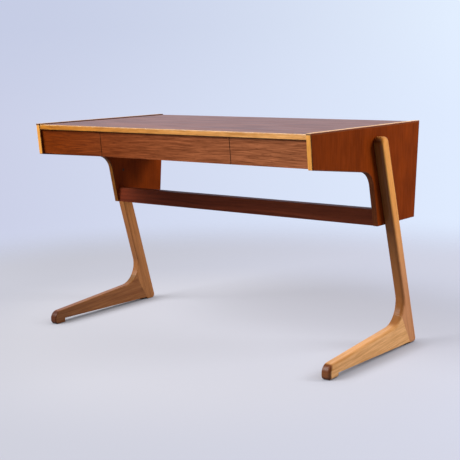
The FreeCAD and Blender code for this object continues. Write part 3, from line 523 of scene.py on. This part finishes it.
# birch plywood: peeled round the trunk, so its figure is broad and pale
drawer_ply = wood("lacquered_birch_plywood", ("cca06c", "a87e4c", "805832"), GRAIN_ALONG_X,
                  (0, 90, -640), ring=18, gloss=0.5, weights=(0.3, 0.4, 0.2, 0.2))
print(len(bpy.data.materials), "materials so far")

# %% [markdown]
# Dressing the boards
#
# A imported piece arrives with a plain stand-in material. Its slots are filled with the wood that
# it is made of. The table names each wood's pieces once, and the print shows what is left: the
# metal and plastic, which are modelled further down.

# %% Give each board its wood
SIDES = ("left", "right")
BAYS = ("left", "middle", "right")
dressed = [
    (teak_upright, [f"side_panel_{side}" for side in SIDES]),
    (teak_rear_band, [f"rear_band_{side}" for side in SIDES]),
    (teak_bottom_band, [f"bottom_band_{side}" for side in SIDES]),
    (teak_top, ["desk_top", "top_rear_lipping", "back_panel"]),
    (teak_front, [f"drawer_{bay}_front" for bay in BAYS]),
    (teak_rail, ["stretcher_rail"]),
    (oak_lipping, ["top_front_lipping"]),
    (oak_upright, [f"front_strip_{side}" for side in SIDES]),
    (beech, [f"runner_{bay}_{side}" for bay in BAYS for side in SIDES]),
    (beech, ["drawer_stops", "top_dowels", "back_dowels", "rail_dowels", "divider_dowels"]),
    (beech, [f"{piece}_{side}" for side in SIDES for piece in ("foot_dowels", "divider")]),
    (drawer_wood, [f"drawer_{bay}_side_{side}" for bay in BAYS for side in SIDES]),
    (drawer_back_wood, [f"drawer_{bay}_back" for bay in BAYS]),
    (drawer_ply, [f"drawer_{bay}_bottom" for bay in BAYS]),
]
dressed += [(oak_top_strip[side], [f"top_strip_{side}"]) for side in SIDES]
dressed += [(oak_bent[side], [f"bent_strip_{side}"]) for side in SIDES]
dressed += [(plank, [piece]) for piece, plank in planks.items()]
for material, names in dressed:
    for name in names:
        for material_slot in nodes[name].material_slots:
            material_slot.material = material
left_over = sorted(set(nodes) - {name for _, names in dressed for name in names})
print("metal and plastic:", left_over)

# %% [markdown]
# Soft edges
#
# No joiner leaves an edge sharp: it splinters and it looks hard. A few strokes with a block
# take it back by half a millimetre, and the strips at the front by two. That thin round catches
# the light and is what makes a board look solid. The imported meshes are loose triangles, so
# three modifiers work in a row: Weld joins the corners, Decimate in its planar mode melts flat
# triangles into whole faces, and Bevel rounds what is left. The legs come with their own rounds,
# dowels stay inside the wood, and screws and glides are modelled anew further down.

# %% Round the edges
WELD_MM = 0.01
FLAT_BELOW = math.radians(0.5)
SHARP_ABOVE = math.radians(40)


def soften(piece, width_mm):
    """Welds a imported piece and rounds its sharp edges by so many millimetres."""
    weld = piece.modifiers.new("weld", "WELD")
    weld.merge_threshold = WELD_MM * MM
    flat = piece.modifiers.new("flat_faces", "DECIMATE")
    flat.decimate_type = "DISSOLVE"
    flat.angle_limit = FLAT_BELOW
    bevel = piece.modifiers.new("soft_edges", "BEVEL")
    bevel.width = width_mm * MM
    bevel.segments = 3
    bevel.limit_method = "ANGLE"
    bevel.angle_limit = SHARP_ABOVE


PLAIN_ROUND_MM = 0.5
FIRMER_ROUNDS_MM = {"front_strip": 2.0, "top_front_lipping": 1.2, "drawer": 0.6,
                    "stretcher_rail": 1.2}
ROUND_ALREADY = ("leg", "foot", "dowels", "screws", "glide")
for name, piece in nodes.items():
    if any(word in name for word in ROUND_ALREADY):
        continue
    firmer = [width for start, width in FIRMER_ROUNDS_MM.items() if name.startswith(start)]
    soften(piece, firmer[0] if firmer else PLAIN_ROUND_MM)
print(sum(1 for piece in nodes.values() if piece.modifiers), "pieces softened")

# %% [markdown]
# Steel and polythene
#
# The screws are plain slotted wood screws, blackened with age: a dark metal, finely pitted, with
# brown freckles where it rusts. The glides are moulded black polythene, a soft plastic with a
# dull, grainy sheen, and the floor has rubbed their lowest millimetres grey. Pits and grain are
# one noise each, a millimetre or two across, coarser than the real ones so that they show.

# %% Metal and plastic finishes
# blackened steel: dark and metallic, with small pits and a few brown freckles
FRECKLES_PER_METRE = 600.0
GRAINS_PER_METRE = 900.0
SKIN_DEPTH_MM = 0.1

steel, tree, shader = new_material("blackened_steel_screw", roughness=0.42)
shader.inputs["Metallic"].default_value = 0.9
place = add_node(tree, "TexCoord").outputs["Object"]
freckles = add_node(tree, "TexNoise", {"Vector": place, "Scale": FRECKLES_PER_METRE,
                                       "Detail": 3.0}).outputs["Fac"]
rusty = add_node(tree, "MapRange", {"Value": freckles, "From Min": 0.52, "From Max": 0.72})
tint = add_node(tree, "Mix", {0: rusty.outputs[0], 6: colour("4a3628"), 7: colour("5c3018")},
                data_type="RGBA")
worn = add_node(tree, "MapRange", {"Value": freckles, "To Min": 0.34, "To Max": 0.6})
pits = add_node(tree, "Bump", {"Height": freckles, "Strength": 0.2,
                               "Distance": SKIN_DEPTH_MM * MM})
tree.links.new(tint.outputs[2], shader.inputs["Base Color"])
tree.links.new(worn.outputs[0], shader.inputs["Roughness"])
tree.links.new(pits.outputs["Normal"], shader.inputs["Normal"])

# moulded polythene: black, waxy, greyed where it rubs on the floor
polythene, tree, shader = new_material("moulded_black_polythene", specular=0.4)
place = add_node(tree, "TexCoord").outputs["Object"]
height = add_node(tree, "SeparateXYZ", {0: place}).outputs["Z"]
rubbed = add_node(tree, "MapRange", {"Value": height, "From Min": 3 * MM, "From Max": 0.5 * MM})
grain = add_node(tree, "TexNoise", {"Vector": place, "Scale": GRAINS_PER_METRE,
                                    "Detail": 3.0}).outputs["Fac"]
greyed = add_node(tree, "Math", {0: rubbed.outputs[0], 1: grain}, operation="MULTIPLY")
tint = add_node(tree, "Mix", {0: greyed.outputs[0], 6: colour("17171a"), 7: colour("4a484a")},
                data_type="RGBA")
dull = add_node(tree, "MapRange", {"Value": grain, "To Min": 0.38, "To Max": 0.6})
pimples = add_node(tree, "Bump", {"Height": grain, "Strength": 0.15,
                                  "Distance": SKIN_DEPTH_MM * MM})
tree.links.new(tint.outputs[2], shader.inputs["Base Color"])
tree.links.new(dull.outputs[0], shader.inputs["Roughness"])
tree.links.new(pimples.outputs["Normal"], shader.inputs["Normal"])
print("steel and polythene ready")

# %% [markdown]
# Modelling by hand in code
#
# New pieces are made as by hand: a primitive is added at its size, faces are picked by the way
# they look, and edit-mode operators shape them. Three helpers keep the bookkeeping in one
# place, because an operator acts on whatever is selected at that moment.

# %% Helpers for modelling
SMOOTH_BELOW = math.radians(35)


def single_out(piece):
    """Makes one piece the only selected one, with none of its faces selected."""
    bpy.ops.object.select_all(action="DESELECT")
    piece.select_set(True)
    bpy.context.view_layer.objects.active = piece
    bpy.ops.object.mode_set(mode="EDIT")
    bpy.ops.mesh.select_mode(type="FACE")
    bpy.ops.mesh.select_all(action="DESELECT")
    bpy.ops.object.mode_set(mode="OBJECT")


def pick_faces(piece, test):
    """Selects the faces whose normal passes a test, and goes to edit mode."""
    single_out(piece)
    for face in piece.data.polygons:
        face.select = test(face.normal)
    bpy.ops.object.mode_set(mode="EDIT")


def settle(piece):
    """Leaves edit mode and bakes the object's place and turn into its mesh."""
    if piece.mode == "EDIT":
        bpy.ops.object.mode_set(mode="OBJECT")
    bpy.ops.object.select_all(action="DESELECT")
    piece.select_set(True)
    bpy.context.view_layer.objects.active = piece
    bpy.ops.object.transform_apply(location=True, rotation=True, scale=True)


print("modelling helpers ready")

# %% [markdown]
# Slotted screws
#
# A countersunk wood screw is a turned thing: a flat head, a cone under it and a shank. So it
# starts as a cone primitive whose wide end is the head. The narrow end is extruded into the
# shank and its tip drawn in, and the rim of the head is inset and set back a hair. A thin block
# then cuts the slot with a Boolean, as a saw does. One screw of each size is modelled at the
# origin, with its head at zero and its shank along X, and then copied to its places.

# %% A slotted screw
TIP_SHARE = 0.2  # of the length, for the tip
TIP_WIDTH = 0.25  # of the shank's width, at the end of the tip
RIM_SHARE = 0.14  # of the head's radius, for the rim round its face
DISH_SHARE = 0.03  # of the head's radius, for how far the face is set back


def turn_screw(name, head, neck, cone, length):
    """A screw with its head at the origin and its shank along X. Head and neck are radii."""
    bpy.ops.object.select_all(action="DESELECT")
    bpy.ops.mesh.primitive_cone_add(vertices=32, radius1=head, radius2=neck, depth=cone,
                                    location=(cone / 2, 0, 0), rotation=(0, math.pi / 2, 0))
    screw = bpy.context.object
    screw.name = name
    settle(screw)
    pick_faces(screw, lambda normal: normal.x > 0.9)
    for reach in (length * (1 - TIP_SHARE) - cone, length * TIP_SHARE):
        bpy.ops.mesh.extrude_region_move(TRANSFORM_OT_translate={"value": (reach, 0, 0)})
    bpy.ops.transform.resize(value=(1, TIP_WIDTH, TIP_WIDTH), center_override=(length, 0, 0))
    settle(screw)
    pick_faces(screw, lambda normal: normal.x < -0.9)
    bpy.ops.mesh.inset(thickness=head * RIM_SHARE)
    bpy.ops.transform.translate(value=(head * DISH_SHARE, 0, 0))
    settle(screw)
    return screw


def saw_slot(screw, head, slot):
    """Cuts a slot as deep as it is wide, with a thin block that is longer than the head."""
    bpy.ops.object.select_all(action="DESELECT")
    bpy.ops.mesh.primitive_cube_add(size=1, scale=(slot * 2, head * 2.6, slot))
    saw = bpy.context.object
    settle(saw)
    cut = screw.modifiers.new("saw_cut", "BOOLEAN")
    cut.object = saw
    cut.operation = "DIFFERENCE"
    cut.solver = "EXACT"
    single_out(screw)
    bpy.ops.object.modifier_apply(modifier=cut.name)
    bpy.data.objects.remove(saw)


def slotted_screw(name, head_mm, neck_mm, cone_mm, length_mm, slot_mm):
    """A whole screw with its finish: turned, slotted, and smooth where it is round."""
    screw = turn_screw(name, head_mm * MM, neck_mm * MM, cone_mm * MM, length_mm * MM)
    saw_slot(screw, head_mm * MM, slot_mm * MM)
    bpy.ops.object.shade_smooth_by_angle(angle=SMOOTH_BELOW)
    screw.data.materials.clear()
    screw.data.materials.append(steel)
    return screw


leg_screw = slotted_screw("leg_screw", head_mm=5, neck_mm=2.5, cone_mm=3, length_mm=40, slot_mm=1.2)
runner_screw = slotted_screw("runner_screw", head_mm=3, neck_mm=1.5, cone_mm=2, length_mm=13.2,
                             slot_mm=0.8)
print(len(leg_screw.data.polygons), "faces in a screw")

# %% [markdown]
# Driving the screws
#
# Three screws hold each leg through its side panel, from inside the desk, and two hold each
# runner. A hand-driven screw stops wherever it is tight, so each slot points its own way. The
# copies of one node are joined into one piece that stands for it.

# %% Place the screws
FIRST_TURN = 0.7
NEXT_TURN = 1.9


def drive(pattern, places, outward, name):
    """Copies a screw to its places, each slot at its own angle, and joins the copies.
    Outward: 1 for a screw that is driven to the right, -1 for one to the left."""
    copies = []
    for number, place in enumerate(places):
        copy = pattern.copy()
        copy.data = pattern.data.copy()
        bpy.context.collection.objects.link(copy)
        copy.location = place
        slot_turn = FIRST_TURN + NEXT_TURN * number
        copy.rotation_euler = (slot_turn, 0, 0 if outward[number] > 0 else math.pi)
        copies.append(copy)
    bpy.ops.object.select_all(action="DESELECT")
    for copy in copies:
        copy.select_set(True)
    bpy.context.view_layer.objects.active = copies[0]
    bpy.ops.object.join()
    screws = bpy.context.object
    screws.name = name
    settle(screws)
    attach(screws, "desk")
    return screws


PANEL_INSIDE_MM = 551
LEG_SCREWS_MM = ((115.1, 431.0), (87.5, 527.5), (59.9, 624.0))
for side, sign in (("left", -1), ("right", 1)):
    places = [(sign * PANEL_INSIDE_MM * MM, y * MM, z * MM) for y, z in LEG_SCREWS_MM]
    screws = drive(leg_screw, places, [sign] * len(places), f"slotted_leg_screws_{side}")
    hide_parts(f"leg_screws_{side}")

BAY_ENDS_MM = ((-PANEL_INSIDE_MM, -278), (-262, 262), (278, PANEL_INSIDE_MM))
RUNNER_SCREWS_MM = (-216.5, 211.1)
RUNNER_MM = 7.7
RUNNER_HEIGHT_MM = 666.8
places = []
outward = []
for low, high in BAY_ENDS_MM:
    for y in RUNNER_SCREWS_MM:
        for x, way in ((low + RUNNER_MM, -1), (high - RUNNER_MM, 1)):
            places.append((x * MM, y * MM, RUNNER_HEIGHT_MM * MM))
            outward.append(way)
screws = drive(runner_screw, places, outward, "slotted_runner_screws")
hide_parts("runner_screws")
for pattern in (leg_screw, runner_screw):
    bpy.data.objects.remove(pattern)
print(2 * len(LEG_SCREWS_MM), "leg screws and", len(places), "runner screws")

# %% [markdown]
# Glides
#
# Under each heel sits a round black glide, so that the desk can be pulled over a floor. It is a
# disc with a well rounded lower rim. It starts as a cylinder of its full height. Its foot is
# inset, and a bevel in five steps rounds the rim, as the mould did.

# %% Glides
GLIDE_MM = {"x": 583, "y": 201, "radius": 9, "height": 11, "inset": 3.5, "round": 2.5}
for side, sign in (("left", -1), ("right", 1)):
    bpy.ops.object.select_all(action="DESELECT")
    bpy.ops.mesh.primitive_cylinder_add(
        vertices=48, radius=GLIDE_MM["radius"] * MM, depth=GLIDE_MM["height"] * MM,
        location=(sign * GLIDE_MM["x"] * MM, GLIDE_MM["y"] * MM, GLIDE_MM["height"] / 2 * MM))
    glide = bpy.context.object
    glide.name = f"polythene_glide_{side}"
    settle(glide)
    pick_faces(glide, lambda normal: normal.z < -0.9)
    bpy.ops.mesh.inset(thickness=GLIDE_MM["inset"] * MM)
    settle(glide)
    rim = glide.modifiers.new("rounded_rim", "BEVEL")
    rim.width = GLIDE_MM["round"] * MM
    rim.segments = 5
    rim.limit_method = "ANGLE"
    rim.angle_limit = math.radians(60)
    bpy.ops.object.modifier_apply(modifier=rim.name)
    bpy.ops.object.shade_smooth_by_angle(angle=SMOOTH_BELOW)
    glide.data.materials.clear()
    glide.data.materials.append(polythene)
    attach(glide, "desk")
    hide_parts(f"heel_glide_{side}")
print("two glides of", 2 * GLIDE_MM["radius"], "mm")

# %% [markdown]
# Light
#
# The photograph is a studio shot in even, soft light. A large soft box stands at the front left and
# high, so the fronts and the top are lit alike and what is under the desk stays dim. A smaller,
# lower one stands to the right and a little behind: it lights the outer side of the near leg and
# throws that leg's narrow shadow forward on the panel. It is left out of mirror images, so it draws
# no bright spot. Nothing lights the side of the camera itself, which is one reason why the edge of
# the leg that faces us is the darkest; painted shade in the leg's wood darkens it further.

# %% Soft boxes
LAMP_AIM = Vector((0, 0, 0.5))
LAMP_TINT = (1.0, 0.96, 0.9)
LAMPS = (
    ("front_left", (-3.0, -4.2, 4.6), 3.8, 670, True),
    ("right_rear", (2.6, 1.65, 1.9), 1.3, 86, False),
)
for name, place, width, watts, in_gloss in LAMPS:
    facing = (LAMP_AIM - Vector(place)).to_track_quat("-Z", "Y").to_euler()
    bpy.ops.object.light_add(type="AREA", location=place, rotation=facing)
    lamp = bpy.context.object
    lamp.name = name
    lamp.data.size = width
    lamp.data.energy = watts
    lamp.data.color = LAMP_TINT
    lamp.visible_glossy = in_gloss
print(len(LAMPS), "soft boxes")

# %% [markdown]
# The wall
#
# A pale blue-grey wall stands behind the desk. It isn't even in the photograph: it is a little
# brighter to the right, and lower down. The world has no geometry, so its colour follows the
# direction in which a ray looks. The floor further down uses the same way to the right.

# %% Wall
WALL = colour("d3dbf2")
HIGH_LEFT = colour("c6cde5")
HIGH_RIGHT = colour("e2eeff")
LOW_LEFT = colour("ccd1e8")
LOW_RIGHT = colour("dfebff")
TO_THE_RIGHT = Vector((0.787, 0.617, 0))
WALL_REACH = 0.21


def rightward(tree, where, reach):
    """0 on the room's dim side at the left, 1 on its bright side at the right."""
    across = add_node(tree, "VectorMath", {0: where, 1: TO_THE_RIGHT}, operation="DOT_PRODUCT")
    return add_node(tree, "MapRange", {"Value": across.outputs["Value"], "From Min": -reach,
                                       "From Max": reach}).outputs["Result"]


def wall_colour(tree, direction):
    """The wall's colour in a direction, brighter to the right and lower down."""
    share = rightward(tree, direction, WALL_REACH)
    eased = add_node(tree, "Math", {0: share, 1: 1.5}, operation="POWER").outputs[0]
    high = add_node(tree, "Mix", {0: eased, 6: HIGH_LEFT, 7: HIGH_RIGHT}, data_type="RGBA")
    low = add_node(tree, "Mix", {0: share, 6: LOW_LEFT, 7: LOW_RIGHT}, data_type="RGBA")
    height = add_node(tree, "SeparateXYZ", {0: direction}).outputs["Z"]
    lower = add_node(tree, "MapRange", {"Value": height, "From Min": 0.03, "From Max": -0.06})
    return add_node(tree, "Mix", {0: lower.outputs[0], 6: high.outputs[2], 7: low.outputs[2]},
                    data_type="RGBA").outputs[2]


print("wall ready")

# %% [markdown]
# The room
#
# The world plays two parts, told apart by the kind of ray. The camera sees the wall at full
# strength, and so do mirror rays that look towards it, so a glossy top at a low angle shows it.
# All other rays get a dim, warm fill from the whole room, brighter towards the rear, where the
# pale wall stands, than on the camera's dark side.

# %% World
TO_WALL = Vector((-0.45, 0.75, 0.48)).normalized()
FILL_TINT = colour("ffe8cc")
FILL_FRONT = 0.05
FILL_REAR = 0.28

world = bpy.data.worlds.new("pale_studio")
bpy.context.scene.world = world
world.use_nodes = True
sky = world.node_tree
sky.nodes.clear()
looking = add_node(sky, "TexCoord").outputs["Generated"]
towards = add_node(sky, "VectorMath", {0: looking, 1: TO_WALL}, operation="DOT_PRODUCT")
rear = add_node(sky, "MapRange", {"Value": towards.outputs["Value"], "From Min": -0.2,
                                  "From Max": 0.9},
                interpolation_type="SMOOTHSTEP").outputs["Result"]
ray = add_node(sky, "LightPath").outputs
mirrored = add_node(sky, "Math", {0: ray["Is Glossy Ray"], 1: rear}, operation="MULTIPLY")
clear = add_node(sky, "Math", {0: ray["Is Camera Ray"], 1: ray["Is Transmission Ray"]},
                 operation="MAXIMUM")
seen = add_node(sky, "Math", {0: clear.outputs[0], 1: mirrored.outputs[0]}, operation="MAXIMUM")
strength = add_node(sky, "MapRange", {"Value": rear, "To Min": FILL_FRONT, "To Max": FILL_REAR})
fill = add_node(sky, "Background", {"Color": FILL_TINT, "Strength": strength.outputs["Result"]})
shown = add_node(sky, "Mix", {0: ray["Is Camera Ray"], 6: WALL, 7: wall_colour(sky, looking)},
                 data_type="RGBA")
wall = add_node(sky, "Background", {"Color": shown.outputs[2], "Strength": 1.0})
room = add_node(sky, "MixShader", {0: seen.outputs[0], 1: fill.outputs[0], 2: wall.outputs[0]})
add_node(sky, "OutputWorld", {"Surface": room.outputs[0]})
print("room ready")

# %% [markdown]
# The floor
#
# A studio floor runs into the wall with no line between. Here one large round floor does that
# from every side: near the desk it is a pale grey that takes the desk's shadow, and further out,
# by its distance from the middle, the eye sees through it to the colour of the room. This cell
# adds the disc and works out those distances.

# %% Floor
FLOOR_RADIUS = 14
GREYING = (0.6, 1.2)  # metres from the middle, between which the floor's tone changes
FADING = (1.45, 2.8)  # and those between which it turns into the wall
FLOOR_REACH = 0.75

bpy.ops.object.select_all(action="DESELECT")
bpy.ops.mesh.primitive_circle_add(vertices=96, radius=FLOOR_RADIUS, fill_type="NGON",
                                  location=(0, 0, 0))
floor = bpy.context.object
floor.name = "studio_floor"
floor_paint, tree, shader = new_material("pale_studio_floor", roughness=0.7)
shader.inputs["Base Color"].default_value = colour("c2c8da")
place = add_node(tree, "TexCoord").outputs["Object"]
distance = add_node(tree, "VectorMath", {0: place}, operation="LENGTH").outputs["Value"]
outward, fade = [
    add_node(tree, "MapRange", {"Value": distance, "From Min": begin, "From Max": end},
             interpolation_type="SMOOTHSTEP").outputs["Result"]
    for begin, end in (GREYING, FADING)]
share = rightward(tree, place, FLOOR_REACH)
print("floor", round(floor.dimensions[0], 1), "m across")

# %% [markdown]
# The floor's own glow
#
# Over half of the floor's light is an even glow, which stands for the many lamps and pale walls
# of a studio: they leave only faint shadows. That light can't reach under the feet, so an
# ambient occlusion node dims the glow within a few centimetres of them, and the desk stands and
# doesn't float. The glow is weaker for all rays but the camera's, so it hardly lights the desk.

# %% Glow of the floor
CONTACT_MM = 70
GLOW_ON_DESK = 0.3
EVEN_SHARE = 0.55

near, far = [
    add_node(tree, "Mix", {0: share, 6: colour(left), 7: colour(right)}, data_type="RGBA")
    for left, right in (("d7d6dd", "d6d6e3"), ("bcbdc8", "d4d8ec"))]
lit = add_node(tree, "Mix", {0: outward, 6: near.outputs[2], 7: far.outputs[2]}, data_type="RGBA")
glow = add_node(tree, "Mix", {0: fade, 6: lit.outputs[2], 7: WALL}, data_type="RGBA")
looked_at = add_node(tree, "LightPath").outputs["Is Camera Ray"]
seen = add_node(tree, "MapRange", {"Value": looked_at, "To Min": GLOW_ON_DESK, "To Max": 1.0})
open_floor = add_node(tree, "AmbientOcclusion", {"Distance": CONTACT_MM * MM}, samples=12)
strength = add_node(tree, "Math", {0: seen.outputs["Result"], 1: open_floor.outputs["AO"]},
                    operation="MULTIPLY")
even = add_node(tree, "Emission", {"Color": glow.outputs[2], "Strength": strength.outputs[0]})
evenness = add_node(tree, "MapRange", {"Value": fade, "To Min": EVEN_SHARE, "To Max": 1.0})
blend = add_node(tree, "MixShader", {0: evenness.outputs[0], 1: shader.outputs[0],
                                     2: even.outputs[0]})
gone = add_node(tree, "Math", {0: fade, 1: looked_at}, operation="MULTIPLY")
clear = add_node(tree, "BsdfTransparent")
ending = add_node(tree, "MixShader", {0: gone.outputs[0], 1: blend.outputs[0],
                                      2: clear.outputs[0]})
output = next(node for node in tree.nodes if node.type == "OUTPUT_MATERIAL")
tree.links.new(ending.outputs[0], output.inputs["Surface"])
floor.data.materials.append(floor_paint)
print("floor fades from", FADING[0], "to", FADING[1], "m")

# %% [markdown]
# Last settings
#
# The view transform is Standard, so a colour shows as it is written.

# %% Finish
bpy.context.scene.view_settings.view_transform = "Standard"
